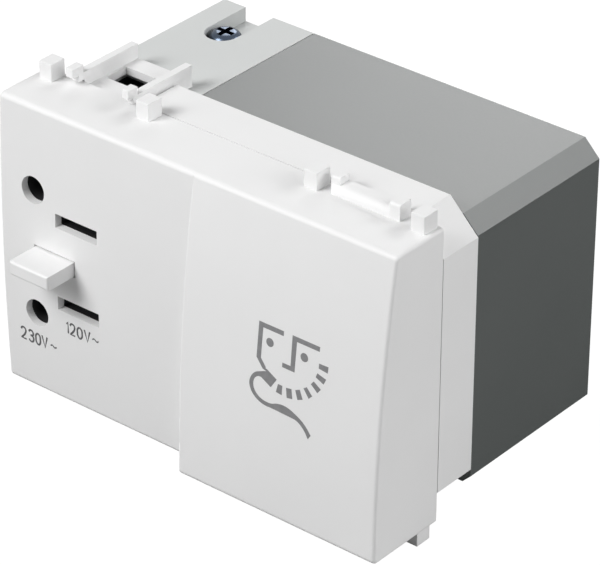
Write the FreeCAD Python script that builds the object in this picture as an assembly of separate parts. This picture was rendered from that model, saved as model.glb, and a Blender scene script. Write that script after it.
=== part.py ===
import FreeCAD, Part
import math
import os

# Built-in shaver socket with its own isolating transformer, three modules wide.
# Millimetres. X runs right along the front, Y runs back into the wall, Z is up.
# The origin is the centre of the seat plane, where the rear edge of the front
# cover meets the support frame.
V = FreeCAD.Vector

# Front cover
module_width = 66.8
module_height = 44.0
cover_depth = 9.25
cover_wall = 1.6
front_wall = 1.25
face_bow = 0.6
front_round = 0.8
side_round = 0.45
wedge_start_x = 0.4
wedge_rise = 3.7
wedge_bow = 0.92
wedge_edge_round = 0.35

# Socket pattern in the left half of the cover, set in from its left edge
socket_z = 0.0
round_hole_inset = 6.0
round_pitch = 19.0
round_hole_radius = 2.02
blade_slot_inset = 13.65
blade_pitch = 12.7
blade_slot_width = 7.4
blade_slot_height = 2.1
tab_inset = 9.65
tab_width = 6.9
tab_height = 2.1
tab_reach = 5.1
tab_slot_gap = 0.22
tab_round = 0.35

# Locating lugs on the top and bottom of the cover
lug_width = 2.2
lug_depth = 2.65
lug_height = 2.6
lug_setback = 0.35
lug_round = 0.1
lug_left_insets = (1.45, 18.55)
lug_right_insets = (0.72, 17.82)
ridge_right_inset = 5.15
ridge_length = 11.4
ridge_depth = 2.3
ridge_height = 1.42
ridge_front_round = 1.2
ridge_end_round = 0.8
ridge_stop_height = 2.36
ridge_stop_round = 0.45
left_stop_width = 1.45
left_stop_depth = 1.75
right_stop_width = 1.65

# Support frame behind the cover
frame_depth = 7.2
frame_wall = 1.85
frame_corner = 4.55
frame_web = 1.2
seam_width = 0.15
seam_depth = 0.6
tongue_notch_inset = 5.05
tongue_notch_width = 11.65
tongue_root_depth = 1.9
tongue_gap = 0.3
rib_thickness = 1.1
rib_inset = 5.6
rib_pitch = 9.6
rib_top_rise = 1.4
rib_rear_y = 10.7
rib_nose_y = -1.0
rib_nose_gap = 0.3
plate_drop = 2.15
plate_thickness = 1.1
window_left_gap = 0.5
window_front_y = 3.8
window_rear_y = 7.75
head_width = 1.3
head_height = 1.3
head_rear_y = -0.2
left_head_depth = 2.15
right_head_depth = 1.9
head_round = 0.15

# Rear housings
housing_step = 2.02
housing_length = 26.15
housing_wall = 1.5
housing_side_gap = 0.16
top_corner = 2.4
bottom_corner = 1.25
split_inset = 18.7
spigot_gap = 0.15
spigot_hole_corner = 1.2
hook_room = 0.75
fit_gap = 0.1
cut_margin = 1.0
joint_groove_width = 0.15
joint_groove_depth = 0.6
tongue_relief_depth = 2.4

# Snap barbs that hold the mouldings together
barb_width = 5.0
barb_length = 1.6
barb_reach = 0.75
barb_setback = 2.4
hook_width = 5.0
hook_thickness = 1.2
hook_root_depth = 1.9
hook_split_inset = 8.7
hook_right_inset = 11.4
side_barb_z_places = (-9.0, 9.0)

# Supply terminals in the left housing
terminal_inset = 8.9
terminal_setback = 7.25
notch_radius = 2.5
notch_setback = 7.85
notch_depth = 2.15
clamp_width = 6.4
clamp_length = 7.8
clamp_height = 7.6
clamp_sink = 3.15
clamp_bore_radius = 1.5
clamp_bore_rise = 2.3
entry_radius = 1.8
entry_boss_radius = 3.0
screw_head_radius = 2.3
screw_head_height = 1.9
screw_head_sink = 0.03
screw_head_round = 1.1
screw_radius = 1.75
screw_tip_gap = 0.1
screw_recess_width = 0.8
screw_recess_length = 2.8
screw_recess_depth = 1.1
tower_wall = 1.3

# Contact carrier and the contacts in it
carrier_floor = 1.07
carrier_corner = 1.4
carrier_height_gap = 1.1
carrier_split_gap = 0.4
sleeve_wall = 0.48
sleeve_slit = 0.7
pocket_gap = 0.1
lead_in_depth = 3.9
pin_reach = 18.75
blade_thickness = 1.5
blade_contact_width = 7.0
blade_leaf = 0.5
blade_step = 1.18
tail_reach = 2.2
tail_width = 2.0
tail_thickness = 0.6
tail_gap = 0.1

# Push tab and the switch that it works
flange_width = 9.4
flange_height = 4.4
flange_thickness = 1.6
stem_width = 5.0
stem_height = 2.6
stem_length = 6.45
guide_pin_radius = 0.75
guide_pin_length = 3.4
guide_gap = 0.15
bridge_length = 12.0
bridge_width = 3.0
bridge_thickness = 0.6
rivet_spacing = 10.0
rivet_radius = 1.1
rivet_height = 0.5
switch_end_gap = 0.1
switch_cavity_gap = 0.3
spring_wire_radius = 0.2
spring_radius = 1.25
spring_turns = 6
fixed_plate_size = 2.4

# Transformer
core_side_room = 3.27
core_top_room = 2.48
core_joint_gap = 0.05
flange_front_gap = 0.5
flange_rear_gap = 0.55
bobbin_wall = 0.7
bobbin_gap = 0.1
bobbin_flange = 0.7
winding_room = 1.1
tape_thickness = 0.25
core_rib_thickness = 1.6
core_rib_places = (-10.5, 10.5)
cutout_side_room = 1.2
cutout_thickness = 3.0
cutout_length = 9.0
cutout_z = 2.6

# Insulated leads
lead_radius = 0.65
lead_bend = 1.6
lead_room = 0.2
lane_step_share = 0.29
switched_share = 0.395
protected_share = 0.66
lead_joint_setback = 2.75
lead_middle_gap = 1.3
lead_far_gap = 3.0

# Values that follow from the ones above
sharp = 0
half_width = module_width / 2
half_height = module_height / 2
front_y = -cover_depth
wall_rear_y = front_y - face_bow + front_wall
round_hole_x = round_hole_inset - half_width
blade_slot_x = blade_slot_inset - half_width
tab_x = tab_inset - half_width
round_places = (socket_z - round_pitch / 2, socket_z + round_pitch / 2)
blade_places = (socket_z - blade_pitch / 2, socket_z + blade_pitch / 2)
travel = tab_reach
left_lugs = [inset - half_width for inset in lug_left_insets]
right_lugs = [half_width - inset - lug_width for inset in lug_right_insets]
ridge_right_x = half_width - ridge_right_inset
ridge_left_x = ridge_right_x - ridge_length
corner_share = 2 - math.sqrt(2)
frame_inner_x = half_width - frame_wall
frame_inner_z = half_height - frame_wall
frame_inner_corner = frame_corner - frame_wall * corner_share
barb_y = frame_web + barb_setback
notch_left_x = tongue_notch_inset - half_width
notch_right_x = notch_left_x + tongue_notch_width
rib_left_x = rib_inset - half_width
rib_right_x = rib_left_x + rib_pitch
rib_top_z = half_height + rib_top_rise
plate_top_z = rib_top_z - plate_drop
split_x = split_inset - half_width
hook_x_places = (split_x + hook_split_inset, half_width - hook_right_inset)
housing_side = half_width - housing_side_gap
housing_top = half_height - housing_step
housing_rear_y = frame_depth + housing_length
chamber_rear_y = housing_rear_y - housing_wall
spigot_front_y = frame_web + fit_gap
shoulder_rear_y = frame_depth + housing_wall
spigot_half_height = frame_inner_z - fit_gap - hook_thickness - hook_room
terminal_x = terminal_inset - half_width
terminal_y = housing_rear_y - terminal_setback
notch_y = housing_rear_y - notch_setback
notch_floor_z = housing_top - notch_depth
clamp_top_z = notch_floor_z - clamp_sink
clamp_bore_z = clamp_top_z - clamp_height + clamp_bore_rise
carrier_front_y = wall_rear_y + fit_gap
carrier_left_x = fit_gap - frame_inner_x
carrier_right_x = split_x - carrier_split_gap
carrier_rear_right_x = split_x - housing_wall - fit_gap
carrier_half_height = housing_top - housing_wall - carrier_height_gap
lead_in_y = carrier_front_y + lead_in_depth
sleeve_rear_y = front_y + pin_reach + sleeve_wall
blade_contact_rear_y = sleeve_rear_y - blade_step
carrier_rear_y = sleeve_rear_y + pocket_gap + carrier_floor
tail_rear_y = carrier_rear_y + tail_reach
stem_front_y = carrier_front_y + flange_thickness
stem_rear_y = stem_front_y + stem_length
bridge_front_y = stem_rear_y
bridge_rear_y = bridge_front_y + bridge_thickness
fixed_rivet_y = bridge_rear_y + rivet_height + travel + switch_end_gap
fixed_plate_y = fixed_rivet_y + rivet_height
switch_wall_y = fixed_plate_y + tail_thickness
core_half_width = (housing_side - split_x) / 2 - housing_wall - core_side_room
core_limb_width = core_half_width / 3
core_half_height = housing_top - housing_wall - core_top_room
window_half_height = core_half_height - core_limb_width
core_x = (split_x + housing_side) / 2
bobbin_inner_half_x = core_limb_width + bobbin_gap
bobbin_reach = core_limb_width - 2 * bobbin_gap
winding_depth = core_limb_width - bobbin_wall - winding_room
winding_half_x = bobbin_inner_half_x + bobbin_wall + winding_depth
winding_top_z = window_half_height - bobbin_gap - bobbin_flange
core_front_y = frame_web + flange_front_gap + bobbin_reach + bobbin_gap
core_rear_y = chamber_rear_y - flange_rear_gap - bobbin_reach - bobbin_gap
cutout_right_x = core_x - bobbin_inner_half_x - bobbin_reach - fit_gap
cutout_width = core_limb_width - cutout_side_room
lane_x = (split_x + housing_wall + core_x - core_half_width) / 2
lane_start = bobbin_flange / 2 + lead_radius + lead_room
lane_span = winding_top_z - lane_start
lane_step = lane_step_share * lane_span
lane_tap = lane_start + lane_step
lane_high = lane_tap + lane_step
switched_z = -lane_start - switched_share * lane_span
protected_z = -lane_start - protected_share * lane_span
lead_joint_y = frame_web + lead_joint_setback
lead_side_y = tail_rear_y - tail_width / 2
lead_middle_y = tail_rear_y + lead_middle_gap
lead_far_y = tail_rear_y + lead_far_gap
clamp_front_y = terminal_y - clamp_length / 2
lead_rear_y = (lead_far_y + clamp_front_y) / 2
lead_window_front_y = lead_side_y - lead_radius - lead_room
lead_window_rear_y = lead_far_y + lead_radius + lead_room
lead_window_half_height = lane_high + lead_radius + lead_room


def block(x0, x1, y0, y1, z0, z1):
    return Part.makeBox(x1 - x0, y1 - y0, z1 - z0, V(x0, y0, z0))


def rod_y(x, z, radius, y0, y1):
    return Part.makeCylinder(radius, y1 - y0, V(x, y0, z), V(0, 1, 0))


def rod_z(x, y, radius, z0, z1):
    return Part.makeCylinder(radius, z1 - z0, V(x, y, z0), V(0, 0, 1))


def prism(points, direction):
    ring = Part.makePolygon(points + [points[0]])
    return Part.Face(ring).extrude(direction)


def cornered(x0, x1, z0, z1, y0, y1, top_left, top_right, low_right, low_left):
    corners = (
        (x0, z0, 1, 1, low_left, False),
        (x1, z0, -1, 1, low_right, True),
        (x1, z1, -1, -1, top_right, False),
        (x0, z1, 1, -1, top_left, True),
    )
    points = []
    for x, z, way_x, way_z, size, level_first in corners:
        level = V(x + way_x * size, y0, z)
        upright = V(x, y0, z + way_z * size)
        if size == sharp:
            points.append(V(x, y0, z))
        else:
            points += [level, upright] if level_first else [upright, level]
    return prism(points, V(0, y1 - y0, 0))


def mirrored_z(shape):
    return shape.mirror(V(0, 0, 0), V(0, 0, 1))


def rounded(shape, radius, wanted):
    edges = [edge for edge in shape.Edges if wanted(edge)]
    return shape.makeFillet(radius, edges)


def near(a, b):
    return abs(a - b) < 0.001


def edge_middle(edge):
    return edge.valueAt((edge.FirstParameter + edge.LastParameter) / 2)


# Front cover: one white moulding, level over the socket and wedge-shaped beside it.
# Both halves of its face are slightly bowed from top to bottom.
def bowed_block(x0, x1, top_y, low_y, bow, half_z):
    top = V(x0, top_y, half_z)
    low = V(x0, low_y, -half_z)
    crest = V(x0, (top_y + low_y) / 2 - bow, 0)
    rear_low = V(x0, 0, -half_z)
    rear_top = V(x0, 0, half_z)
    face_line = Part.Arc(top, crest, low).toShape()
    sides = [Part.makeLine(low, rear_low), Part.makeLine(rear_low, rear_top), Part.makeLine(rear_top, top)]
    return Part.Face(Part.Wire([face_line] + sides)).extrude(V(x1 - x0, 0, 0))


def cover_flat_half():
    body = bowed_block(-half_width, wedge_start_x, front_y, front_y, face_bow, half_height)

    def level_edge(edge):
        m = edge_middle(edge)
        return near(m.y, front_y) and near(abs(m.z), half_height)

    def side_edge(edge):
        m = edge_middle(edge)
        return near(m.x, -half_width) and m.y < front_y + front_round and abs(m.z) < half_height / 2

    body = rounded(body, front_round, level_edge)
    return rounded(body, side_round, side_edge)


def cover_wedge_half():
    body = bowed_block(wedge_start_x, half_width, front_y, front_y - wedge_rise, wedge_bow, half_height)

    def level_edge(edge):
        m = edge_middle(edge)
        along_x = near(m.x, (wedge_start_x + half_width) / 2)
        return along_x and m.y < front_y / 2 and near(abs(m.z), half_height)

    def side_edge(edge):
        m = edge_middle(edge)
        return near(m.x, half_width) and m.y < front_y and abs(m.z) < half_height / 2

    def flank_edge(edge):
        m = edge_middle(edge)
        return near(m.x, wedge_start_x) and m.y < front_y and abs(m.z) < half_height / 2

    body = rounded(body, front_round, level_edge)
    body = rounded(body, side_round, side_edge)
    flank = bowed_block(wedge_start_x, wedge_start_x + wedge_edge_round, front_y, front_y, face_bow, half_height)
    return rounded(body, wedge_edge_round, flank_edge).fuse(flank.common(body))


def cover_hollow():
    inner_x = half_width - cover_wall
    inner_z = half_height - cover_wall
    flat = block(-inner_x, wedge_start_x + cover_wall, wall_rear_y, 0, -inner_z, inner_z)
    wedge_left = wedge_start_x + cover_wall
    wedge_rear_y = front_y + cover_wall
    wedge = bowed_block(wedge_left, inner_x, wedge_rear_y, wedge_rear_y - wedge_rise, wedge_bow, inner_z)
    return flat.fuse(wedge)


def cover_openings():
    deep = wall_rear_y + cut_margin
    shallow = front_y - face_bow - cut_margin
    cuts = [rod_y(round_hole_x, z, round_hole_radius, shallow, deep) for z in round_places]
    for z in blade_places:
        half_w = blade_slot_width / 2
        half_h = blade_slot_height / 2
        cuts.append(block(blade_slot_x - half_w, blade_slot_x + half_w, shallow, deep, z - half_h, z + half_h))
    half_w = tab_width / 2 + tab_slot_gap
    half_h = tab_height / 2 + tab_slot_gap
    cuts.append(block(tab_x - half_w, tab_x + half_w, shallow, deep, socket_z - half_h, socket_z + half_h))
    return cuts


def cover_lug(x0):
    root_z = half_height - cover_wall / 2
    y1 = -lug_setback
    lug = block(x0, x0 + lug_width, y1 - lug_depth, y1, root_z, half_height + lug_height)

    def free_edge(edge):
        return edge_middle(edge).z > root_z + lug_height / 2

    return rounded(lug, lug_round, free_edge)


def cover_ridge():
    root_z = half_height - cover_wall / 2
    top_z = half_height + ridge_height
    body = block(ridge_left_x, ridge_right_x, -ridge_depth, 0, root_z, top_z)

    def end_edge(edge):
        m = edge_middle(edge)
        return near(m.x, ridge_left_x) and near(m.y, -ridge_depth)

    def front_edge(edge):
        m = edge_middle(edge)
        return near(m.y, -ridge_depth) and near(m.z, top_z)

    return rounded(body, ridge_end_round, end_edge).common(rounded(body, ridge_front_round, front_edge))


def ridge_stop(x0, width, depth):
    root_z = half_height - cover_wall / 2
    top_z = half_height + ridge_stop_height
    stop = block(x0, x0 + width, -depth, 0, root_z, top_z)

    def front_edge(edge):
        m = edge_middle(edge)
        return near(m.y, -depth) and near(m.z, top_z)

    return rounded(stop, ridge_stop_round, front_edge)


def cover_lugs():
    lugs = [cover_lug(x) for x in left_lugs + right_lugs]
    lugs.append(cover_ridge())
    lugs.append(ridge_stop(ridge_left_x, left_stop_width, left_stop_depth))
    lugs.append(ridge_stop(ridge_right_x - right_stop_width, right_stop_width, ridge_depth))
    return lugs + [mirrored_z(lug) for lug in lugs]


def cover_hooks():
    hooks = []
    outer = frame_inner_z - fit_gap
    inner = outer - hook_thickness
    root_y = -hook_root_depth
    tip_y = barb_y + barb_length
    for x in hook_x_places:
        x0 = x - hook_width / 2
        x1 = x + hook_width / 2
        root = block(x0, x1, root_y, -fit_gap, inner, half_height - cover_wall / 2)
        prong = block(x0, x1, root_y, tip_y, inner, outer)
        barb = prism(
            [V(x0, barb_y, outer), V(x0, barb_y, outer + barb_reach), V(x0, tip_y, outer)],
            V(hook_width, 0, 0),
        )
        hook = root.fuse([prong, barb])
        hooks += [hook, mirrored_z(hook)]
    return hooks


def front_cover():
    shell = cover_flat_half().fuse(cover_wedge_half())
    shell = shell.cut(cover_hollow())
    shell = shell.fuse(cover_lugs() + cover_hooks())
    return shell.cut(cover_openings()).removeSplitter()


# Support frame: the white ring that snaps into the mounting plate
def frame_opening(grow, y0, y1):
    x = frame_inner_x + grow
    z = frame_inner_z + grow
    c = frame_inner_corner
    return cornered(-x, x, -z, z, y0, y1, c, c, c, c)


def barb_pocket(x0, x1, z0, z1):
    return block(x0, x1, barb_y - fit_gap, barb_y + barb_length + fit_gap, z0, z1)


def tongue_head(x0, depth):
    top = rib_top_z + head_height
    head = block(x0, x0 + head_width, head_rear_y - depth, head_rear_y, rib_top_z, top)

    def free_edge(edge):
        return edge_middle(edge).z > rib_top_z + head_round

    return rounded(head, head_round, free_edge)


def spring_tongue():
    top = rib_top_z
    low = plate_top_z - plate_thickness
    ribs = []
    for x in (rib_left_x, rib_right_x):
        x1 = x + rib_thickness
        rib = block(x, x1, fit_gap, rib_rear_y, low, top)
        nose = block(x, x1, rib_nose_y, fit_gap, half_height + rib_nose_gap, top)
        ribs += [rib, nose]
    ribs += [tongue_head(rib_left_x, left_head_depth), tongue_head(rib_right_x, right_head_depth)]
    plate = block(rib_left_x, rib_right_x + rib_thickness, fit_gap, rib_rear_y, low, plate_top_z)
    window = block(
        rib_left_x + rib_thickness + window_left_gap,
        rib_right_x - window_left_gap,
        window_front_y,
        window_rear_y,
        low,
        plate_top_z,
    )
    root = block(notch_left_x, notch_right_x, fit_gap, tongue_root_depth, low, plate_top_z)
    return plate.fuse(ribs + [root]).cut(window)


def frame_notch():
    low = plate_top_z - plate_thickness - tongue_gap
    return block(notch_left_x, notch_right_x, fit_gap, frame_depth, low, half_height)


def support_frame():
    c = frame_corner
    ring = cornered(-half_width, half_width, -half_height, half_height, 0, frame_depth, c, c, c, c)
    ring = ring.cut(frame_opening(0, frame_web, frame_depth))
    socket_side = block(-half_width, split_x, 0, frame_web, -half_height, half_height)
    ring = ring.cut(frame_opening(0, 0, frame_web).common(socket_side))
    for x in hook_x_places:
        half = hook_width / 2
        for side in (-1, 1):
            z0 = side * (spigot_half_height + fit_gap)
            z1 = side * (frame_inner_z + barb_reach + fit_gap)
            ring = ring.cut(barb_pocket(x - half - fit_gap, x + half + fit_gap, min(z0, z1), max(z0, z1)))
            z1 = side * frame_inner_z
            ring = ring.cut(block(x - half - fit_gap, x + half + fit_gap, 0, frame_web, min(z0, z1), max(z0, z1)))
    for z in side_barb_z_places:
        half = barb_width / 2 + fit_gap
        x0 = frame_inner_x
        x1 = x0 + barb_reach + fit_gap
        ring = ring.cut(barb_pocket(x0, x1, z - half, z + half))
        ring = ring.cut(barb_pocket(-x1, -x0, z - half, z + half))
    notches = [frame_notch(), mirrored_z(frame_notch())]
    tongue = spring_tongue()
    outline = cornered(-half_width, half_width, -half_height, half_height, 0, seam_width, c, c, c, c)
    seat_x = half_width - seam_depth
    seat_z = half_height - seam_depth
    seat_c = frame_corner - seam_depth * corner_share
    seat = cornered(-seat_x, seat_x, -seat_z, seat_z, 0, seam_width, seat_c, seat_c, seat_c, seat_c)
    ring = ring.cut(notches + [outline.cut(seat)])
    return ring.fuse([tongue, mirrored_z(tongue)]).removeSplitter()


# Terminal housing: the light grey box at the left rear
def terminal_tower():
    half = notch_radius + tower_wall
    bottom = clamp_top_z + fit_gap
    tower = block(
        terminal_x - half,
        terminal_x + half,
        notch_y - half,
        chamber_rear_y,
        bottom,
        housing_top - housing_wall,
    )
    outer = clamp_width / 2 + fit_gap + tower_wall
    inner = clamp_width / 2 + fit_gap
    low = clamp_top_z - clamp_height
    cheeks = [
        block(terminal_x - outer, terminal_x - inner, notch_y - half, chamber_rear_y, low, bottom),
        block(terminal_x + inner, terminal_x + outer, notch_y - half, chamber_rear_y, low, bottom),
    ]
    clamp_rear_y = terminal_y + clamp_length / 2 + fit_gap
    boss = rod_y(terminal_x, clamp_bore_z, entry_boss_radius, clamp_rear_y, chamber_rear_y)
    return tower.fuse(cheeks + [boss])


def terminal_cuts():
    r = notch_radius
    open_y = housing_rear_y + cut_margin
    open_z = housing_top + cut_margin
    slot = block(terminal_x - r, terminal_x + r, notch_y, open_y, notch_floor_z, open_z)
    well = rod_z(terminal_x, notch_y, r, clamp_top_z, open_z)
    screw_room = rod_z(terminal_x, terminal_y, r, clamp_top_z, notch_floor_z)
    entry = rod_y(terminal_x, clamp_bore_z, entry_radius, terminal_y, open_y)
    return [slot, well, screw_room, entry]


def housing_shell(x0, x1, top_left, top_right, low_right, low_left, seam_left, seam_right):
    top = housing_top
    shell_front_y = frame_depth + seam_width
    shell = cornered(x0, x1, -top, top, shell_front_y, housing_rear_y, top_left, top_right, low_right, low_left)
    rim_top = top - seam_depth
    x0 = x0 + seam_left
    x1 = x1 - seam_right
    rim = cornered(x0, x1, -rim_top, rim_top, frame_depth, shell_front_y, top_left, top_right, low_right, low_left)
    return shell.fuse(rim)


def tongue_relief():
    top = housing_top + cut_margin
    low = housing_top - housing_wall - cut_margin
    return block(rib_left_x, rib_right_x, frame_depth - cut_margin, frame_depth + tongue_relief_depth, low, top)


def terminal_housing():
    left = -housing_side
    right = split_x
    body = housing_shell(left, right, top_corner, sharp, sharp, bottom_corner, seam_depth, 0)
    wall = housing_wall
    hollow = cornered(
        left + wall,
        right - wall,
        -housing_top + wall,
        housing_top - wall,
        frame_depth,
        chamber_rear_y,
        top_corner - wall * corner_share,
        sharp,
        sharp,
        bottom_corner - wall * corner_share,
    )
    body = body.cut([hollow, tongue_relief(), mirrored_z(tongue_relief())])
    tower = terminal_tower()
    body = body.fuse([tower, mirrored_z(tower)])
    cuts = terminal_cuts()
    body = body.cut(cuts + [mirrored_z(cut) for cut in cuts])
    groove_x = right - joint_groove_width
    core_z = housing_top - joint_groove_depth
    groove = block(groove_x, right, frame_depth, housing_rear_y, -housing_top, housing_top)
    groove = groove.cut(block(groove_x, right, frame_depth, housing_rear_y - joint_groove_depth, -core_z, core_z))
    body = body.cut(groove)
    lead_window = block(
        right - wall, right, lead_window_front_y, lead_window_rear_y, -lead_window_half_height, lead_window_half_height
    )
    return body.cut(lead_window).removeSplitter()


# Transformer housing: the dark grey box
def core_ribs():
    ribs = []
    left_wall = split_x + housing_wall
    right_wall = housing_side - housing_wall
    core_left = core_x - core_half_width - fit_gap
    core_right = core_x + core_half_width + fit_gap
    half = core_rib_thickness / 2
    for z in core_rib_places:
        ribs.append(block(left_wall, core_left, core_front_y, chamber_rear_y, z - half, z + half))
        ribs.append(block(core_right, right_wall, core_front_y, chamber_rear_y, z - half, z + half))
    for x in (core_x - core_half_width + core_limb_width / 2, core_x + core_half_width - core_limb_width / 2):
        stop = block(x - half, x + half, core_rear_y + fit_gap, chamber_rear_y, -housing_top, housing_top)
        shelf = block(x - half, x + half, core_front_y, chamber_rear_y, -housing_top, housing_top)
        middle = block(
            x - half, x + half, core_front_y, chamber_rear_y, -core_half_height - fit_gap, core_half_height + fit_gap
        )
        ribs += [stop, shelf.cut(middle)]
    return ribs


def transformer_housing():
    left = split_x
    right = housing_side
    body = housing_shell(left, right, sharp, top_corner, bottom_corner, sharp, 0, seam_depth)
    wall = housing_wall
    inner = cornered(
        left + wall,
        right - wall,
        -housing_top + wall,
        housing_top - wall,
        shoulder_rear_y,
        chamber_rear_y,
        sharp,
        top_corner - wall * corner_share,
        bottom_corner - wall * corner_share,
        sharp,
    )
    ribs = core_ribs()
    spigot_right = frame_inner_x - spigot_gap
    sh = spigot_half_height
    corner = frame_inner_corner
    spigot = cornered(left, spigot_right, -sh, sh, spigot_front_y, shoulder_rear_y, sharp, corner, corner, sharp)
    spigot_hole = cornered(
        left + wall,
        spigot_right - wall,
        -sh + wall,
        sh - wall,
        spigot_front_y,
        shoulder_rear_y,
        sharp,
        spigot_hole_corner,
        spigot_hole_corner,
        sharp,
    )
    body = body.cut(inner).fuse([spigot] + [rib.common(inner) for rib in ribs]).cut(spigot_hole)
    for z in side_barb_z_places:
        z0 = z - barb_width / 2
        barb = prism(
            [
                V(spigot_right, barb_y, z0),
                V(spigot_right, barb_y + barb_length, z0),
                V(spigot_right + barb_reach, barb_y + barb_length, z0),
            ],
            V(0, 0, barb_width),
        )
        body = body.fuse(barb)
    lead_window = block(
        left, left + wall, lead_window_front_y, lead_window_rear_y, -lead_window_half_height, lead_window_half_height
    )
    return body.cut(lead_window).removeSplitter()


# Supply terminals: brass clamps with steel screws
def terminal_clamp():
    half_w = clamp_width / 2
    half_l = clamp_length / 2
    x = terminal_x
    y = terminal_y
    body = block(x - half_w, x + half_w, y - half_l, y + half_l, clamp_top_z - clamp_height, clamp_top_z)
    body = body.cut(rod_y(x, clamp_bore_z, clamp_bore_radius, y - half_l, y + half_l))
    return body.cut(rod_z(x, y, screw_radius + fit_gap, clamp_bore_z, clamp_top_z))


def terminal_screw():
    crown = housing_top - screw_head_sink
    seat = crown - screw_head_height
    tip = clamp_bore_z + clamp_bore_radius + screw_tip_gap
    head = rod_z(terminal_x, terminal_y, screw_head_radius, seat, crown)

    def crown_edge(edge):
        return near(edge_middle(edge).z, crown)

    head = rounded(head, screw_head_round, crown_edge)
    shank = rod_z(terminal_x, terminal_y, screw_radius, tip, seat)
    screw = head.fuse(shank)
    half = screw_recess_length / 2
    thin = screw_recess_width / 2
    low = crown - screw_recess_depth
    across = block(terminal_x - half, terminal_x + half, terminal_y - thin, terminal_y + thin, low, crown)
    along = block(terminal_x - thin, terminal_x + thin, terminal_y - half, terminal_y + half, low, crown)
    return screw.cut([across, along])


# Contact carrier: the black base behind the holes
def switch_cavity():
    half_x = bridge_length / 2 + switch_cavity_gap
    half_z = flange_height / 2 + switch_cavity_gap
    return block(tab_x - half_x, tab_x + half_x, carrier_front_y, switch_wall_y, socket_z - half_z, socket_z + half_z)


def tail_slot(x, z, y0):
    half_w = tail_width / 2 + tail_gap
    half_t = tail_thickness / 2 + tail_gap
    return block(x - half_w, x + half_w, y0, carrier_rear_y, z - half_t, z + half_t)


def contact_carrier():
    front = carrier_front_y
    c = carrier_corner
    half_z = carrier_half_height
    body = cornered(
        carrier_left_x, carrier_right_x, -half_z, half_z, front, frame_depth - fit_gap, c, sharp, sharp, c
    )
    rear = cornered(
        carrier_left_x, carrier_rear_right_x, -half_z, half_z, front, carrier_rear_y, c, sharp, sharp, c
    )
    body = body.fuse(rear)
    guide_radius = guide_pin_radius + guide_gap
    cuts = [switch_cavity(), rod_y(tab_x, socket_z, guide_radius, front, carrier_rear_y)]
    sleeve_pocket = round_hole_radius + sleeve_wall + pocket_gap
    for z in round_places:
        cuts.append(rod_y(round_hole_x, z, round_hole_radius, front, lead_in_y))
        cuts.append(rod_y(round_hole_x, z, sleeve_pocket, lead_in_y, sleeve_rear_y + pocket_gap))
        cuts.append(tail_slot(round_hole_x, z, sleeve_rear_y))
    mouth_w = blade_slot_width / 2
    mouth_h = blade_slot_height / 2
    half_w = blade_contact_width / 2 + pocket_gap
    half_h = blade_thickness / 2 + blade_leaf + pocket_gap
    for z in blade_places:
        x0 = blade_slot_x - half_w
        x1 = blade_slot_x + half_w
        cuts.append(block(x0, x1, lead_in_y, blade_contact_rear_y + pocket_gap, z - half_h, z + half_h))
        x0 = blade_slot_x - mouth_w
        x1 = blade_slot_x + mouth_w
        cuts.append(block(x0, x1, front, lead_in_y, z - mouth_h, z + mouth_h))
        cuts.append(tail_slot(blade_slot_x, z, blade_contact_rear_y))
    for x in (tab_x - rivet_spacing / 2, tab_x + rivet_spacing / 2):
        cuts.append(tail_slot(x, socket_z, fixed_plate_y))
    body = body.cut(cuts)
    barbs = []
    for z in side_barb_z_places:
        z0 = z - barb_width / 2
        barbs.append(
            prism(
                [
                    V(carrier_left_x, barb_y, z0),
                    V(carrier_left_x, barb_y + barb_length, z0),
                    V(carrier_left_x - barb_reach, barb_y + barb_length, z0),
                ],
                V(0, 0, barb_width),
            )
        )
    return body.fuse(barbs).removeSplitter()


def solder_tail(x, z, y0):
    return block(
        x - tail_width / 2, x + tail_width / 2, y0, tail_rear_y, z - tail_thickness / 2, z + tail_thickness / 2
    )


def round_pin_contact(z):
    front = lead_in_y
    outer = rod_y(round_hole_x, z, round_hole_radius + sleeve_wall, front, sleeve_rear_y)
    bore = rod_y(round_hole_x, z, round_hole_radius, front, sleeve_rear_y - sleeve_wall)
    slit = block(
        round_hole_x,
        round_hole_x + 2 * round_hole_radius,
        front,
        sleeve_rear_y - 3 * sleeve_wall,
        z - sleeve_slit / 2,
        z + sleeve_slit / 2,
    )
    return outer.cut([bore, slit]).fuse(solder_tail(round_hole_x, z, sleeve_rear_y - sleeve_wall))


def blade_contact(z):
    front = lead_in_y
    half_w = blade_contact_width / 2
    half_h = blade_thickness / 2 + blade_leaf
    x0 = blade_slot_x - half_w
    x1 = blade_slot_x + half_w
    body = block(x0, x1, front, blade_contact_rear_y, z - half_h, z + half_h)
    gap = block(
        x0, x1, front, blade_contact_rear_y - blade_leaf, z - blade_thickness / 2, z + blade_thickness / 2
    )
    return body.cut(gap).fuse(solder_tail(blade_slot_x, z, blade_contact_rear_y - blade_leaf))


def fixed_contact(x):
    half = fixed_plate_size / 2
    plate = block(x - half, x + half, fixed_plate_y, switch_wall_y, socket_z - half / 2, socket_z + half / 2)
    rivet = rod_y(x, socket_z, rivet_radius, fixed_rivet_y, fixed_plate_y)
    return plate.fuse([rivet, solder_tail(x, socket_z, fixed_plate_y)])


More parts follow.
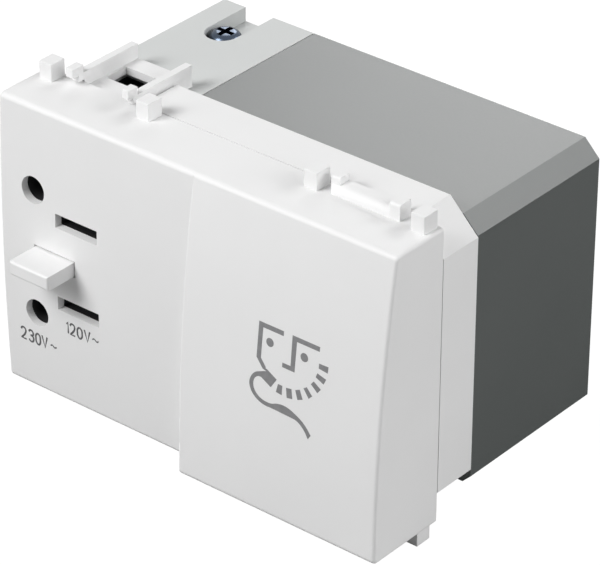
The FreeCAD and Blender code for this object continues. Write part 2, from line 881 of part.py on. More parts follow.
# Push tab: pressed in by the face of the plug, it carries the bridge contact
def push_tab():
    half_w = tab_width / 2
    half_h = tab_height / 2
    tip_y = front_y - face_bow - tab_reach
    flange_y = carrier_front_y
    blade = block(tab_x - half_w, tab_x + half_w, tip_y, flange_y, socket_z - half_h, socket_z + half_h)

    def tip_edge(edge):
        m = edge_middle(edge)
        return near(m.y, tip_y)

    blade = rounded(blade, tab_round, tip_edge)
    half_w = flange_width / 2
    half_h = flange_height / 2
    flange = block(
        tab_x - half_w, tab_x + half_w, flange_y, flange_y + flange_thickness, socket_z - half_h, socket_z + half_h
    )
    half_w = stem_width / 2
    half_h = stem_height / 2
    stem = block(tab_x - half_w, tab_x + half_w, flange_y, stem_rear_y, socket_z - half_h, socket_z + half_h)
    guide = rod_y(tab_x, socket_z, guide_pin_radius, stem_rear_y, stem_rear_y + guide_pin_length)
    return blade.fuse([flange, stem, guide]).removeSplitter()


def bridge_contact():
    half_l = bridge_length / 2
    half_w = bridge_width / 2
    strip = block(
        tab_x - half_l, tab_x + half_l, bridge_front_y, bridge_rear_y, socket_z - half_w, socket_z + half_w
    )
    rivets = [
        rod_y(x, socket_z, rivet_radius, bridge_rear_y, bridge_rear_y + rivet_height)
        for x in (tab_x - rivet_spacing / 2, tab_x + rivet_spacing / 2)
    ]
    hole = rod_y(tab_x, socket_z, guide_pin_radius + fit_gap, bridge_front_y, bridge_rear_y)
    return strip.fuse(rivets).cut(hole)


def return_spring():
    start = bridge_rear_y + spring_wire_radius + fit_gap / 2
    length = switch_wall_y - spring_wire_radius - fit_gap / 2 - start
    helix = Part.makeHelix(length / spring_turns, length, spring_radius)
    wire_face = Part.Wire(Part.makeCircle(spring_wire_radius, V(spring_radius, 0, 0), V(0, 1, 0)))
    coil = Part.Wire(helix.Edges).makePipeShell([wire_face], True, True)
    coil.rotate(V(0, 0, 0), V(1, 0, 0), -90)
    coil.translate(V(tab_x, start, socket_z))
    return coil


# Transformer: E and I laminations, two-chamber bobbin, windings and tape
def core_e():
    left = core_x - core_half_width
    right = core_x + core_half_width
    joint_z = window_half_height - core_joint_gap
    body = block(left, right, core_front_y, core_rear_y, -core_half_height, joint_z)
    for side in (-1, 1):
        x0 = core_x + side * core_limb_width
        x1 = core_x + side * 2 * core_limb_width
        body = body.cut(
            block(min(x0, x1), max(x0, x1), core_front_y, core_rear_y, -window_half_height, window_half_height)
        )
    return body


def core_i():
    left = core_x - core_half_width
    right = core_x + core_half_width
    return block(left, right, core_front_y, core_rear_y, window_half_height, core_half_height)


def coil_ring(inner_grow, outer_grow, z0, z1):
    x_in = bobbin_inner_half_x + inner_grow
    x_out = bobbin_inner_half_x + outer_grow
    y_in0 = core_front_y - bobbin_gap - inner_grow
    y_in1 = core_rear_y + bobbin_gap + inner_grow
    y_out0 = core_front_y - bobbin_gap - outer_grow
    y_out1 = core_rear_y + bobbin_gap + outer_grow
    outer = block(core_x - x_out, core_x + x_out, y_out0, y_out1, z0, z1)
    inner = block(core_x - x_in, core_x + x_in, y_in0, y_in1, z0, z1)
    return outer.cut(inner)


def bobbin():
    half = window_half_height - bobbin_gap
    tube = coil_ring(0, bobbin_wall, -half, half)
    low = coil_ring(0, bobbin_reach, -half, -winding_top_z)
    middle = coil_ring(0, bobbin_reach, -bobbin_flange / 2, bobbin_flange / 2)
    high = coil_ring(0, bobbin_reach, winding_top_z, half)
    return tube.fuse([low, middle, high]).removeSplitter()


def winding(z0, z1):
    return coil_ring(bobbin_wall, bobbin_wall + winding_depth, z0, z1)


def winding_tape(z0, z1):
    inner = bobbin_wall + winding_depth
    return coil_ring(inner, inner + tape_thickness, z0, z1)


def thermal_cutout():
    z0 = cutout_z - cutout_length / 2
    y1 = core_front_y
    body = block(
        cutout_right_x - cutout_width, cutout_right_x, y1 - cutout_thickness, y1, z0, z0 + cutout_length
    )

    def long_edge(edge):
        return near(edge_middle(edge).z, cutout_z)

    return rounded(body, cutout_thickness / 4, long_edge)


# Insulated leads between terminals, switch, contacts and windings
def lead(points):
    corners = [V(*p) for p in points]
    edges = []
    start = corners[0]
    for before, corner, after in zip(corners, corners[1:], corners[2:]):
        back = (before - corner).normalize()
        ahead = (after - corner).normalize()
        half_turn = math.acos(max(-1.0, min(1.0, -back.dot(ahead)))) / 2
        run = min((corner - before).Length, (after - corner).Length)
        radius = min(lead_bend, 0.45 * run / math.tan(half_turn))
        cut = radius * math.tan(half_turn)
        first = corner + back * cut
        last = corner + ahead * cut
        centre_way = (back + ahead).normalize()
        centre = corner + centre_way * (radius / math.cos(half_turn))
        middle = centre - centre_way * radius
        edges.append(Part.LineSegment(start, first).toShape())
        edges.append(Part.Arc(first, middle, last).toShape())
        start = last
    edges.append(Part.LineSegment(start, corners[-1]).toShape())
    path = Part.Wire(edges)
    section = Part.Wire(Part.makeCircle(lead_radius, corners[0], (corners[1] - corners[0]).normalize()))
    return path.makePipeShell([section], True, False)


def lead_routes():
    clamp_z = clamp_top_z - clamp_height / 4
    half_tail = tail_thickness / 2
    winding_side_x = core_x - winding_half_x - tape_thickness
    cutout_left_x = cutout_right_x - cutout_width
    cutout_y = core_front_y - cutout_thickness / 2
    left_fixed = tab_x - rivet_spacing / 2
    right_fixed = tab_x + rivet_spacing / 2
    blade_low, blade_high = blade_places
    round_low, round_high = round_places
    return {
        "lead_live": [
            (terminal_x, clamp_front_y, clamp_z),
            (terminal_x, lead_rear_y, clamp_z),
            (terminal_x, lead_rear_y, -lane_start),
            (terminal_x, lead_middle_y, -lane_start),
            (lane_x, lead_middle_y, -lane_start),
            (lane_x, cutout_y, -lane_start),
            (cutout_left_x, cutout_y, -lane_start),
        ],
        "lead_neutral": [
            (terminal_x, clamp_front_y, -clamp_z),
            (terminal_x, lead_rear_y, -clamp_z),
            (left_fixed, lead_rear_y, -clamp_z),
            (left_fixed, lead_rear_y, socket_z),
            (left_fixed, tail_rear_y, socket_z),
        ],
        "lead_switched": [
            (right_fixed, lead_side_y, socket_z - half_tail),
            (right_fixed, lead_side_y, switched_z),
            (lane_x, lead_side_y, switched_z),
            (lane_x, lead_joint_y, switched_z),
            (winding_side_x, lead_joint_y, switched_z),
        ],
        "lead_protected": [
            (cutout_right_x - cutout_width / 2, cutout_y, cutout_z - cutout_length / 2),
            (cutout_right_x - cutout_width / 2, cutout_y, protected_z),
            (winding_side_x, cutout_y, protected_z),
        ],
        "lead_round_pins": [
            (round_hole_x, tail_rear_y, round_high),
            (round_hole_x, lead_middle_y, round_high),
            (round_hole_x, lead_middle_y, lane_high),
            (lane_x, lead_middle_y, lane_high),
            (lane_x, lead_joint_y, lane_high),
            (winding_side_x, lead_joint_y, lane_high),
        ],
        "lead_blade_tap": [
            (blade_slot_x, lead_side_y, blade_high - half_tail),
            (blade_slot_x, lead_side_y, lane_tap),
            (lane_x, lead_side_y, lane_tap),
            (lane_x, lead_joint_y, lane_tap),
            (winding_side_x, lead_joint_y, lane_tap),
        ],
        "lead_common": [
            (blade_slot_x, tail_rear_y, blade_low),
            (blade_slot_x, lead_far_y, blade_low),
            (blade_slot_x, lead_far_y, lane_start),
            (lane_x, lead_far_y, lane_start),
            (lane_x, lead_joint_y, lane_start),
            (winding_side_x, lead_joint_y, lane_start),
        ],
        "lead_link": [
            (round_hole_x + tail_width / 2, lead_side_y, round_low),
            (blade_slot_x, lead_side_y, round_low),
            (blade_slot_x, lead_side_y, blade_low - half_tail),
        ],
    }


def save(name, shape):
    solids = shape.Solids
    whole = solids[0] if len(solids) == 1 else Part.makeCompound(solids)
    whole.exportStep("parts/" + name + ".step")
    print(name, len(solids), "solids", round(whole.Volume, 2), "mm3", "valid" if whole.isValid() else "BROKEN")


def build_all():
    os.makedirs("parts", exist_ok=True)
    save("front_cover", front_cover())
    save("support_frame", support_frame())
    save("terminal_housing", terminal_housing())
    save("transformer_housing", transformer_housing())
    clamp = terminal_clamp()
    save("terminal_clamp_upper", clamp)
    save("terminal_clamp_lower", mirrored_z(clamp))
    screw = terminal_screw()
    save("terminal_screws", Part.makeCompound([screw, mirrored_z(screw)]))
    save("contact_carrier", contact_carrier())
    for name, z in zip(("lower", "upper"), round_places):
        save("round_pin_contact_" + name, round_pin_contact(z))
    for name, z in zip(("lower", "upper"), blade_places):
        save("blade_contact_" + name, blade_contact(z))
    save("fixed_contact_left", fixed_contact(tab_x - rivet_spacing / 2))
    save("fixed_contact_right", fixed_contact(tab_x + rivet_spacing / 2))
    save("push_tab", push_tab())
    save("bridge_contact", bridge_contact())
    save("return_spring", return_spring())
    save("core_e_laminations", core_e())
    save("core_i_laminations", core_i())
    save("bobbin", bobbin())
    save("primary_winding", winding(-winding_top_z, -bobbin_flange / 2))
    save("secondary_winding", winding(bobbin_flange / 2, winding_top_z))
    save("primary_tape", winding_tape(-winding_top_z, -bobbin_flange / 2))
    save("secondary_tape", winding_tape(bobbin_flange / 2, winding_top_z))
    save("thermal_cutout", thermal_cutout())
    for name, points in lead_routes().items():
        save(name, lead(points))


build_all()
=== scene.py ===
import math

import bpy
from mathutils import Matrix, Vector


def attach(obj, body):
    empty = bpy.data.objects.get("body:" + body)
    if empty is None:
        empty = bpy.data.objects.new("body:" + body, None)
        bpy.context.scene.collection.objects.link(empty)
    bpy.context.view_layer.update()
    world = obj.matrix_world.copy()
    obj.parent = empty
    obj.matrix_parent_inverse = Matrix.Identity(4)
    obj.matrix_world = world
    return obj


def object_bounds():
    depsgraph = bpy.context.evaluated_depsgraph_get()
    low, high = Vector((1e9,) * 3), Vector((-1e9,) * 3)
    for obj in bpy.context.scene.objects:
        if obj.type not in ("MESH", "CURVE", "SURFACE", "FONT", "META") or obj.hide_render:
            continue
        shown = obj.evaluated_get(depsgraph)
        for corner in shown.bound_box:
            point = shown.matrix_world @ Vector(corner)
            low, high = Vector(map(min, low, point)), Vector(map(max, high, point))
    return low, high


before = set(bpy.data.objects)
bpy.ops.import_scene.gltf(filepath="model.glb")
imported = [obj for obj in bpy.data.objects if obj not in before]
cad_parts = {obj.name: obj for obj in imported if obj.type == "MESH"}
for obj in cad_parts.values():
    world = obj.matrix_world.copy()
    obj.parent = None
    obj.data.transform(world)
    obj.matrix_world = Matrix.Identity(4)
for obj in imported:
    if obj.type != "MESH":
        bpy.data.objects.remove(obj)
cad_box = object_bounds()
MM = 0.001

# Terminal clamps behind the notches: blocks milled from brass bar, drilled for the
# wire from the rear and tapped from above for the screw. They lie loose between the
# cheeks of the grey housing.
noise_low = 0.3
noise_high = 0.7


def new_material(name, roughness, metallic=0.0):
    material = bpy.data.materials.new(name)
    material.use_nodes = True
    shader = material.node_tree.nodes["Principled BSDF"]
    shader.inputs["Roughness"].default_value = roughness
    shader.inputs["Metallic"].default_value = metallic
    return material, shader


def add_node(owner, kind, **values):
    node = owner.node_tree.nodes.new(kind)
    for key, value in values.items():
        if key in node.inputs:
            node.inputs[key].default_value = value
        else:
            setattr(node, key, value)
    return node


def wire(owner, source, target):
    owner.node_tree.links.new(source, target)


def surface_place(material, stretch=(1, 1, 1)):
    place = add_node(material, "ShaderNodeTexCoord")
    mapping = add_node(material, "ShaderNodeMapping", Scale=stretch)
    wire(material, place.outputs["Object"], mapping.inputs["Vector"])
    return mapping.outputs["Vector"]


def noise(material, place, scale, detail=3.0):
    pattern = add_node(material, "ShaderNodeTexNoise", Scale=scale, Detail=detail)
    wire(material, place, pattern.inputs["Vector"])
    return pattern.outputs["Fac"]


def spread(material, value, low, high):
    span = add_node(material, "ShaderNodeMapRange")
    span.inputs["From Min"].default_value = noise_low
    span.inputs["From Max"].default_value = noise_high
    span.inputs["To Min"].default_value = low
    span.inputs["To Max"].default_value = high
    wire(material, value, span.inputs["Value"])
    return span.outputs["Result"]


def blend_colours(material, factor, first, second):
    mix = add_node(material, "ShaderNodeMix", data_type="RGBA")
    mix.inputs["A"].default_value = (*first, 1)
    mix.inputs["B"].default_value = (*second, 1)
    wire(material, factor, mix.inputs["Factor"])
    return mix.outputs["Result"]


def raise_grain(material, shader, height, strength, distance):
    bump = add_node(material, "ShaderNodeBump", Strength=strength, Distance=distance)
    wire(material, height, bump.inputs["Height"])
    wire(material, bump.outputs["Normal"], shader.inputs["Normal"])


def metal(name, colour, worn_colour, roughness, grain_stretch):
    line_scale = 900.0
    line_depth = 0.00002
    patch_scale = 160.0
    polished = roughness - 0.06
    worn = roughness + 0.1
    material, shader = new_material(name, roughness, metallic=1.0)
    lines = noise(material, surface_place(material, grain_stretch), line_scale, 4.0)
    patches = noise(material, surface_place(material), patch_scale)
    tone = blend_colours(material, spread(material, patches, 0, 1), colour, worn_colour)
    wire(material, tone, shader.inputs["Base Color"])
    wire(material, spread(material, lines, polished, worn), shader.inputs["Roughness"])
    raise_grain(material, shader, lines, 0.25, line_depth)
    return material


def dress(node_name, material):
    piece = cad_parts[node_name]
    for slot in piece.material_slots:
        slot.material = material


brass = metal("milled_brass", (0.72, 0.53, 0.24), (0.58, 0.40, 0.17), 0.30, (1, 0.1, 1))
for end in ("upper", "lower"):
    dress("terminal_clamp_" + end, brass)

# Pin and blade contacts: stamped from brass strip and rolled or folded to grip the
# plug, with a tail at the rear for the soldered lead. They sit in the black carrier,
# and so do the fixed contacts of the switch.
contact_strip = metal("contact_strip", (0.78, 0.60, 0.30), (0.66, 0.47, 0.22), 0.24, (1, 0.08, 1))
for kind in ("round_pin_contact_", "blade_contact_"):
    for end in ("upper", "lower"):
        dress(kind + end, contact_strip)
for side in ("left", "right"):
    dress("fixed_contact_" + side, contact_strip)
dress("bridge_contact", contact_strip)

# Return spring of the push tab: drawn spring wire, wound around the guide pin.
# It pushes the tab back out when the plug is pulled.
spring_wire = metal("spring_wire", (0.55, 0.55, 0.56), (0.42, 0.42, 0.43), 0.26, (1, 1, 1))
dress("return_spring", spring_wire)

# Terminal screws: zinc plated steel with a cross recess, one in each clamp. The
# upper head shines at the bottom of the round-ended notch in the grey housing.
# Both tones are painted far darker than plated zinc, a painted dark reflection in the head, so that only the
# lamps' glints show bright on it.
screw_zinc_painted_dark = metal("screw_zinc_painted_dark", (0.075, 0.095, 0.13), (0.05, 0.065, 0.09), 0.2, (1, 1, 1))
dress("terminal_screws", screw_zinc_painted_dark)


# Contact carrier: the moulded base behind the cover, in black plastic. It holds the
# contacts and guides the stem of the tab.
def plastic(name, colour, shade, roughness, grain_scale=2600.0, grain_depth=0.00001):
    cloud_scale = 60.0
    glossier = roughness - 0.02
    duller = roughness + 0.03
    material, shader = new_material(name, roughness)
    place = surface_place(material)
    clouds = noise(material, place, cloud_scale)
    tone = blend_colours(material, spread(material, clouds, 0, 1), colour, shade)
    wire(material, tone, shader.inputs["Base Color"])
    grain = noise(material, place, grain_scale, 2.0)
    wire(material, spread(material, grain, glossier, duller), shader.inputs["Roughness"])
    raise_grain(material, shader, grain, 0.3, grain_depth)
    return material


carrier_plastic = plastic("carrier_plastic", (0.018, 0.018, 0.019), (0.028, 0.028, 0.029), 0.45)
dress("contact_carrier", carrier_plastic)

# Transformer core: an E stack and an I stack of thin electrical steel sheets, dark
# with oxide. The edges of the sheets show as fine lines.
sheet_step = 0.00005
core_steel, core_shader = new_material("core_sheets", 0.42, metallic=1.0)
sheet_lines = add_node(core_steel, "ShaderNodeTexWave", Scale=320.0, Distortion=0.4, bands_direction="Y")
wire(core_steel, surface_place(core_steel), sheet_lines.inputs["Vector"])
sheet_tone = blend_colours(core_steel, sheet_lines.outputs["Fac"], (0.10, 0.10, 0.105), (0.26, 0.26, 0.27))
wire(core_steel, sheet_tone, core_shader.inputs["Base Color"])
raise_grain(core_steel, core_shader, sheet_lines.outputs["Fac"], 0.5, sheet_step)
for stack in ("e", "i"):
    dress("core_" + stack + "_laminations", core_steel)

# Bobbin, windings and tapes: enamelled copper wire wound in the two chambers of a
# moulded bobbin and closed with yellow polyester tape.
bobbin_plastic = plastic("bobbin_plastic", (0.70, 0.66, 0.56), (0.62, 0.58, 0.48), 0.40)
dress("bobbin", bobbin_plastic)
turn_depth = 0.00005
copper, copper_shader = new_material("copper_winding", 0.28, metallic=1.0)
turns = add_node(copper, "ShaderNodeTexWave", Scale=900.0, Distortion=0.3, bands_direction="Z")
wire(copper, surface_place(copper), turns.inputs["Vector"])
copper_tone = blend_colours(copper, turns.outputs["Fac"], (0.30, 0.12, 0.05), (0.72, 0.36, 0.18))
wire(copper, copper_tone, copper_shader.inputs["Base Color"])
raise_grain(copper, copper_shader, turns.outputs["Fac"], 0.6, turn_depth)
tape_film = plastic("tape_film", (0.72, 0.52, 0.08), (0.64, 0.44, 0.06), 0.22, grain_scale=700.0)
for coil in ("primary", "secondary"):
    dress(coil + "_winding", copper)
    dress(coil + "_tape", tape_film)

# Thermal cut-out: a small moulded case beside the primary winding, wired in the
# supply so that it opens when the transformer runs hot.
cutout_plastic = plastic("cutout_plastic", (0.022, 0.022, 0.024), (0.035, 0.035, 0.037), 0.5)
dress("thermal_cutout", cutout_plastic)

# Leads: stranded wire in soft insulation, brown and blue on the supply side and
# white on the plug side.
shade_share = 0.8
lead_colours = {
    "brown": ((0.13, 0.055, 0.025), ("lead_live", "lead_protected")),
    "blue": ((0.03, 0.10, 0.36), ("lead_neutral", "lead_switched")),
    "white": ((0.72, 0.72, 0.69), ("lead_round_pins", "lead_blade_tap", "lead_common", "lead_link")),
}
for colour_name, (colour, lead_names) in lead_colours.items():
    darker = tuple(shade_share * part for part in colour)
    sleeve = plastic(colour_name + "_insulation", colour, darker, 0.38, grain_scale=1500.0)
    for lead_name in lead_names:
        dress(lead_name, sleeve)

# Terminal housing: light grey moulding with a satin surface. The round-ended notches
# let a screwdriver through to the screws.
satin_depth = 0.000006
light_grey = plastic(
    "light_grey_plastic", (0.607, 0.622, 0.616), (0.592, 0.607, 0.601), 0.52, grain_depth=satin_depth
)
dress("terminal_housing", light_grey)

# Transformer housing: dark grey moulding, smoother than the others, so that it
# mirrors more of the light.
smooth_depth = 0.000002
dark_grey = plastic(
    "dark_grey_plastic", (0.0915, 0.1, 0.097), (0.087, 0.096, 0.093), 0.33, grain_depth=smooth_depth
)
dress("transformer_housing", dark_grey)

# Support frame, front cover and push tab: white mouldings with a very fine satin
# grain. The cover snaps onto the frame, and the tab slides in the cover's window.
white = plastic("white_plastic", (0.82, 0.82, 0.82), (0.80, 0.80, 0.80), 0.52, grain_depth=satin_depth)
for moulding in ("support_frame", "front_cover", "push_tab"):
    dress(moulding, white)

# Voltage marks under the lower pin hole and the lower slot: pad printed in dark grey
# ink on the level half of the cover. Strokes are points in shares of a letter's width
# and height, with 1 for a point on a smooth curve and 0 for a corner.
cover_depth = 9.25
cover_half_height = 22.0
face_bow = 0.6
ink_height = 0.012
ink_gap = 0.002
stroke_radius = 0.142
thin_stroke_share = 0.7
glyph_points = {
    "0": (
        (0.50, 1.00, 1), (0.93, 0.80, 1), (1.00, 0.50, 1), (0.93, 0.20, 1), (0.50, 0.00, 1),
        (0.07, 0.20, 1), (0.00, 0.50, 1), (0.07, 0.80, 1), (0.50, 1.00, 1),
    ),
    "1": ((0.00, 0.80, 0), (0.85, 1.00, 0), (0.85, 0.00, 0)),
    "2": (
        (0.02, 0.78, 1), (0.18, 0.95, 1), (0.52, 1.00, 1), (0.90, 0.88, 1), (0.94, 0.66, 1),
        (0.70, 0.40, 1), (0.00, 0.00, 0), (1.00, 0.00, 0),
    ),
    "3": (
        (0.03, 0.84, 1), (0.25, 0.98, 1), (0.60, 1.00, 1), (0.91, 0.86, 1), (0.88, 0.62, 1), (0.42, 0.54, 0),
        (0.88, 0.45, 1), (0.98, 0.24, 1), (0.72, 0.02, 1), (0.30, 0.00, 1), (0.00, 0.16, 1),
    ),
    "V": ((0.00, 1.00, 0), (0.50, 0.00, 0), (1.00, 1.00, 0)),
    "~": ((0.00, 0.30, 1), (0.24, 0.95, 1), (0.74, 0.05, 1), (1.00, 0.70, 1)),
}
mark_rows = (
    (-14.66, -12.86, (
        ("2", -30.63, -29.75), ("3", -29.23, -28.37), ("0", -27.95, -27.13), ("V", -26.77, -25.83),
    )),
    (-13.99, -13.67, (("~", -25.23, -24.15),)),
    (-10.53, -8.78, (
        ("1", -22.02, -21.72), ("2", -21.38, -20.54), ("0", -20.09, -19.24), ("V", -18.79, -17.82),
    )),
    (-9.87, -9.53, (("~", -17.38, -16.28),)),
)


def ink(name, colour, thin_colour):
    fleck_scale = 1400.0
    fleck_depth = 0.000005
    material, shader = new_material(name, 0.55)
    cover_share = spread(material, noise(material, surface_place(material), fleck_scale), 0, 1)
    wire(material, blend_colours(material, cover_share, colour, thin_colour), shader.inputs["Base Color"])
    raise_grain(material, shader, cover_share, 0.2, fleck_depth)
    return material


def start_mark():
    bpy.ops.object.select_all(action="DESELECT")
    bpy.ops.curve.primitive_bezier_circle_add()
    mark = bpy.context.object
    mark.data.splines.clear()
    return mark


def add_line(mark, points, closed, width_share=1.0):
    spline = mark.data.splines.new("BEZIER")
    spline.bezier_points.add(len(points) - 1)
    spline.use_cyclic_u = closed
    for point, (x, z, smooth) in zip(spline.bezier_points, points):
        point.co = (x, z, 0)
        point.handle_left_type = point.handle_right_type = "AUTO" if smooth else "VECTOR"
        point.radius = width_share


def print_mark(mark, name, paint, flatness, low_edge_rise, bow):
    bpy.ops.object.convert(target="MESH")
    mark.scale = (MM, MM, flatness * MM)
    mark.rotation_euler = (math.pi / 2, 0, 0)
    bpy.ops.object.transform_apply(location=True, rotation=True, scale=True)
    for vertex in mark.data.vertices:
        height_share = vertex.co.z / (cover_half_height * MM)
        rise = 0.5 * low_edge_rise * (1 - height_share) + bow * (1 - height_share**2)
        vertex.co.y -= (cover_depth + rise + 0.5 * ink_height + ink_gap) * MM
    mark.name = name
    mark.data.materials.clear()
    mark.data.materials.append(paint)
    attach(mark, "module")


dark_ink = ink("dark_ink", (0.085, 0.085, 0.088), (0.115, 0.115, 0.119))
stroke_flatness = 0.5 * ink_height / stroke_radius
for number, (low, high, letters) in enumerate(mark_rows):
    mark = start_mark()
    mark.data.bevel_depth = stroke_radius
    mark.data.bevel_resolution = 2
    mark.data.resolution_u = 8
    mark.data.use_fill_caps = True
    for letter, left_end, right_end in letters:
        strokes = [
            (left_end + across * (right_end - left_end), low + up_share * (high - low), smooth)
            for across, up_share, smooth in glyph_points[letter]
        ]
        add_line(mark, strokes, False, thin_stroke_share if letter == "~" else 1.0)
    print_mark(mark, "voltage_mark_" + str(number + 1), dark_ink, stroke_flatness, 0.0, face_bow)

# Shaver sign on the wedge: the usual outline of a face with a razor, pad printed in
# a paler grey ink. Points are millimetres across and up from the middle of the
# module, with 0 for a corner and 1 for a point on a smooth curve.
wedge_rise = 3.7
wedge_bow = 0.92
eye_radius = 0.61
eye_centres = ((15.16, 3.70), (20.79, 3.71))
razor_and_cord = (
    (14.95, -0.20, 0), (16.62, -1.08, 0), (15.72, -2.52, 0), (14.05, -1.66, 0), (13.62, -1.72, 1),
    (13.10, -2.12, 1), (12.86, -2.75, 1), (12.90, -3.40, 1), (13.20, -4.00, 1), (13.75, -4.48, 1),
    (14.45, -4.78, 1), (15.20, -4.88, 1), (15.95, -4.82, 1), (16.80, -4.50, 1), (17.70, -4.33, 1),
    (18.60, -4.38, 1), (19.60, -4.70, 1), (20.60, -5.15, 1), (21.50, -5.75, 1), (22.15, -6.40, 1),
    (22.55, -6.90, 0), (22.12, -7.58, 0), (21.62, -6.80, 1), (20.90, -6.10, 1), (20.15, -5.68, 1),
    (19.20, -5.58, 1), (17.60, -5.52, 1), (16.00, -5.47, 1), (14.90, -5.47, 1), (13.90, -5.22, 1),
    (13.05, -4.72, 1), (12.45, -3.98, 1), (12.20, -3.15, 1), (12.38, -2.25, 1), (13.00, -1.38, 1),
    (13.85, -0.92, 1), (14.90, -0.52, 0), (14.62, -0.18, 0),
)
brow_and_cheek = (
    (13.20, 6.08, 0), (17.27, 6.08, 0), (17.27, 5.40, 0), (13.92, 5.40, 0), (13.86, 1.05, 0),
    (14.70, 0.05, 0), (14.75, -0.22, 0), (14.25, -0.38, 0), (13.14, 0.92, 0),
)
brow_and_nose = (
    (18.68, 6.08, 0), (23.16, 6.08, 0), (23.14, 5.40, 0), (19.46, 5.40, 0), (19.40, 1.04, 0),
    (17.36, 1.04, 0), (17.36, 1.68, 0), (18.70, 1.70, 0),
)
beard_strokes = (
    ((23.18, 3.78), (24.70, 3.84), (24.66, 2.92), (23.20, 3.08)),
    ((23.02, 2.34), (24.50, 1.98), (24.12, 1.16), (22.82, 1.70)),
    ((22.56, 1.00), (23.76, 0.28), (23.24, -0.42), (22.12, 0.44)),
    ((21.50, -0.24), (22.46, -1.20), (21.92, -1.76), (21.00, -0.60)),
    ((20.42, -1.02), (20.98, -2.26), (20.14, -2.62), (19.70, -1.36)),
    ((19.08, -1.46), (19.30, -2.84), (18.40, -3.00), (18.20, -1.62)),
    ((17.60, -1.60), (17.54, -2.96), (16.60, -2.84), (16.88, -1.58)),
)
sign_outlines = [razor_and_cord, brow_and_cheek, brow_and_nose]
for x, z in eye_centres:
    sign_outlines.append(
        ((x + eye_radius, z, 1), (x, z + eye_radius, 1), (x - eye_radius, z, 1), (x, z - eye_radius, 1))
    )
for stroke in beard_strokes:
    sign_outlines.append([(x, z, 0) for x, z in stroke])
sign = start_mark()
sign.data.dimensions = "2D"
sign.data.fill_mode = "BOTH"
sign.data.extrude = 0.5 * ink_height
sign.data.resolution_u = 6
for outline in sign_outlines:
    add_line(sign, outline, True)
grey_ink = ink("grey_ink", (0.20, 0.20, 0.205), (0.24, 0.24, 0.245))
print_mark(sign, "shaver_sign", grey_ink, 1.0, wedge_rise, wedge_bow)

# Studio floor under the module: pale and matt, and mostly lit of itself where the
# camera sees it, so that it fades into the white of the background.
white_light = (1, 1, 1, 1)
floor_gap = 0.0002
floor_size = 6.0
glow_share = 0.88
bpy.ops.object.select_all(action="DESELECT")
bpy.ops.mesh.primitive_plane_add(size=floor_size, location=(0, 0, cad_box[0][2] - floor_gap))
floor = bpy.context.object
floor.name = "studio_floor"
floor_paint, floor_shader = new_material("floor_paint", 0.9)
floor_shader.inputs["Base Color"].default_value = (0.3, 0.3, 0.3, 1)
glow = add_node(floor_paint, "ShaderNodeEmission", Color=white_light, Strength=1.15)
path = add_node(floor_paint, "ShaderNodeLightPath")
share = add_node(floor_paint, "ShaderNodeMath", operation="MULTIPLY")
share.inputs[1].default_value = glow_share
wire(floor_paint, path.outputs["Is Camera Ray"], share.inputs[0])
mixer = add_node(floor_paint, "ShaderNodeMixShader")
wire(floor_paint, share.outputs["Value"], mixer.inputs["Fac"])
wire(floor_paint, floor_shader.outputs["BSDF"], mixer.inputs[1])
wire(floor_paint, glow.outputs["Emission"], mixer.inputs[2])
wire(floor_paint, mixer.outputs["Shader"], floor_paint.node_tree.nodes["Material Output"].inputs["Surface"])
floor.data.materials.append(floor_paint)

# Studio air: white where the camera or a mirrored ray looks at it, and nearly dark
# as a light, so that the softboxes alone shape the tones.
world = bpy.data.worlds.new("studio_air")
bpy.context.scene.world = world
world.use_nodes = True
dim_air = world.node_tree.nodes["Background"]
dim_air.inputs["Color"].default_value = white_light
dim_air.inputs["Strength"].default_value = 0.02
seen_air = add_node(world, "ShaderNodeBackground", Color=white_light, Strength=1.0)
ray = add_node(world, "ShaderNodeLightPath")
seen_or_mirrored = add_node(world, "ShaderNodeMath", operation="MAXIMUM")
wire(world, ray.outputs["Is Camera Ray"], seen_or_mirrored.inputs[0])
wire(world, ray.outputs["Is Glossy Ray"], seen_or_mirrored.inputs[1])
seen_at_all = add_node(world, "ShaderNodeMath", operation="MAXIMUM")
wire(world, seen_or_mirrored.outputs["Value"], seen_at_all.inputs[0])
wire(world, ray.outputs["Is Transmission Ray"], seen_at_all.inputs[1])
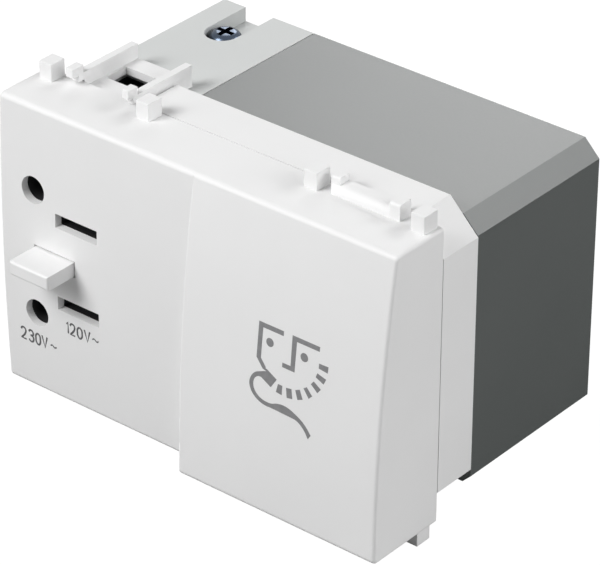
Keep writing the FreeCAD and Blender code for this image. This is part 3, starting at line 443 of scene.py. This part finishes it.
choose = add_node(world, "ShaderNodeMixShader")
wire(world, seen_at_all.outputs["Value"], choose.inputs["Fac"])
wire(world, dim_air.outputs["Background"], choose.inputs[1])
wire(world, seen_air.outputs["Background"], choose.inputs[2])
wire(world, choose.outputs["Shader"], world.node_tree.nodes["World Output"].inputs["Surface"])

# Softboxes: name, place, width and height, and power of each. All point at the
# module, and the sheen one lights no matt surface, only the gloss on the tops.
softboxes = (
    ("key_softbox", (-0.20, -0.42, 0.46), (0.30, 0.30), 3.2),
    ("low_key_softbox", (-0.27, -0.45, 0.30), (0.30, 0.30), 0.95),
    ("side_softbox", (0.85, -0.20, 0.45), (0.5, 0.5), 1.83),
    ("side_back_softbox", (0.85, 0.30, 0.35), (0.5, 0.5), 3.14),
    ("back_right_softbox", (0.53, 0.67, 0.55), (0.35, 0.3), 2.2),
    ("sheen_softbox", (-0.46, 0.74, 0.50), (0.3, 0.3), 1.45),
)
for name, place, size, power in softboxes:
    bpy.ops.object.light_add(type="AREA", location=place)
    lamp = bpy.context.object
    lamp.name = name
    lamp.data.shape = "RECTANGLE"
    lamp.data.size, lamp.data.size_y = size
    lamp.data.energy = power
    lamp.visible_diffuse = name != "sheen_softbox"
    lamp.rotation_euler = (-Vector(place)).to_track_quat("-Z", "Y").to_euler()

# Camera: a long lens from the right and above. Its place, turn, lens and shifts were
# fitted to the edges of the module in the photograph.
camera_place = Vector((0.27833876, -0.32535056, 0.25801589))
right = Vector((0.77024152, 0.63774147, 0.00371649))
up = Vector((-0.32948978, 0.39294305, 0.85850582))
back = Vector((0.5460444, -0.66248137, 0.51279035))
bpy.ops.object.camera_add()
camera = bpy.context.object
camera.name = "photo_camera"
camera.data.lens = 228.537
camera.data.sensor_width = 36.0
camera.data.shift_x = 0.002307
camera.data.shift_y = -0.010252
camera.data.clip_end = 20.0
turn = Matrix((right, up, back)).transposed()
camera.matrix_world = Matrix.Translation(camera_place) @ turn.to_4x4()
bpy.context.scene.camera = camera
bpy.context.scene.view_settings.view_transform = "Standard"
